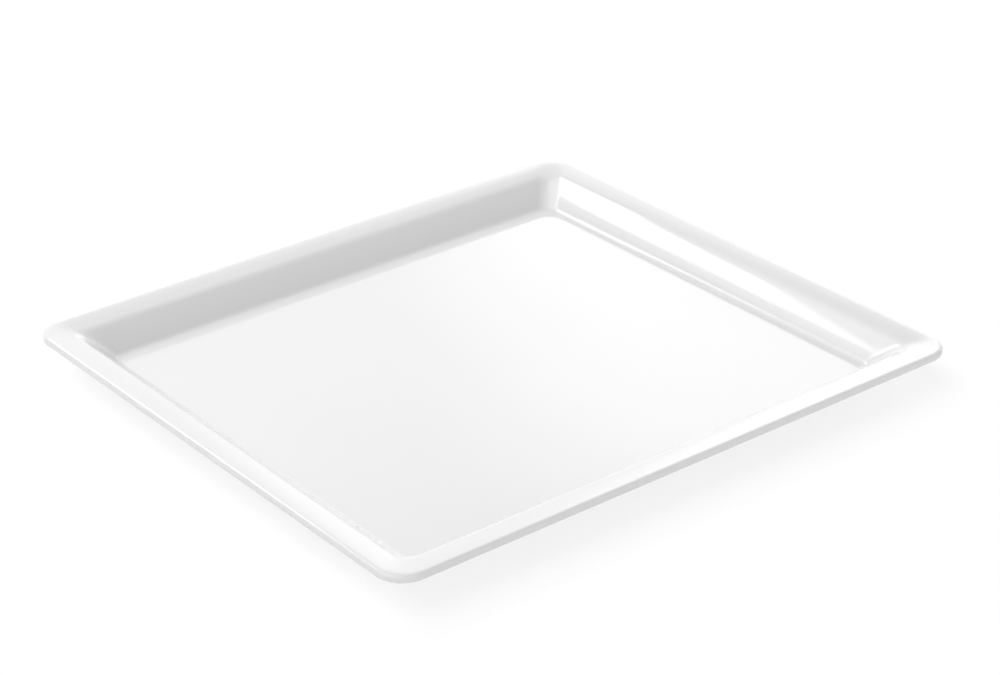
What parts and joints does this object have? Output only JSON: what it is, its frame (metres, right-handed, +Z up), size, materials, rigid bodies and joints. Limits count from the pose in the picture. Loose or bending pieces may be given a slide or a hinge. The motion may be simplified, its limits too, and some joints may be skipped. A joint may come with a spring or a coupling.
{
  "type": "gastronorm tray",
  "caption": "Shallow rectangular serving tray with a crowned rim, sloped inner walls, rounded corners and non-slip feet, for carrying and presenting food.",
  "frame": {"origin": "on the counter, below the centre of the tray's plan, where the feet stand", "axes": "+X along the longer side, +Y along the shorter side, +Z up out of the well"},
  "size_m": [0.354, 0.325, 0.02],
  "materials": {
    "melamine": "polished white melamine, matt underneath",
    "silicone": "soft matt silicone"
  },
  "bodies": {
    "root": {"tray_shell": "melamine", "non_slip_foot_front_left": "silicone", "non_slip_foot_front_right": "silicone", "non_slip_foot_back_left": "silicone", "non_slip_foot_back_right": "silicone"}
  },
  "joints": []
}
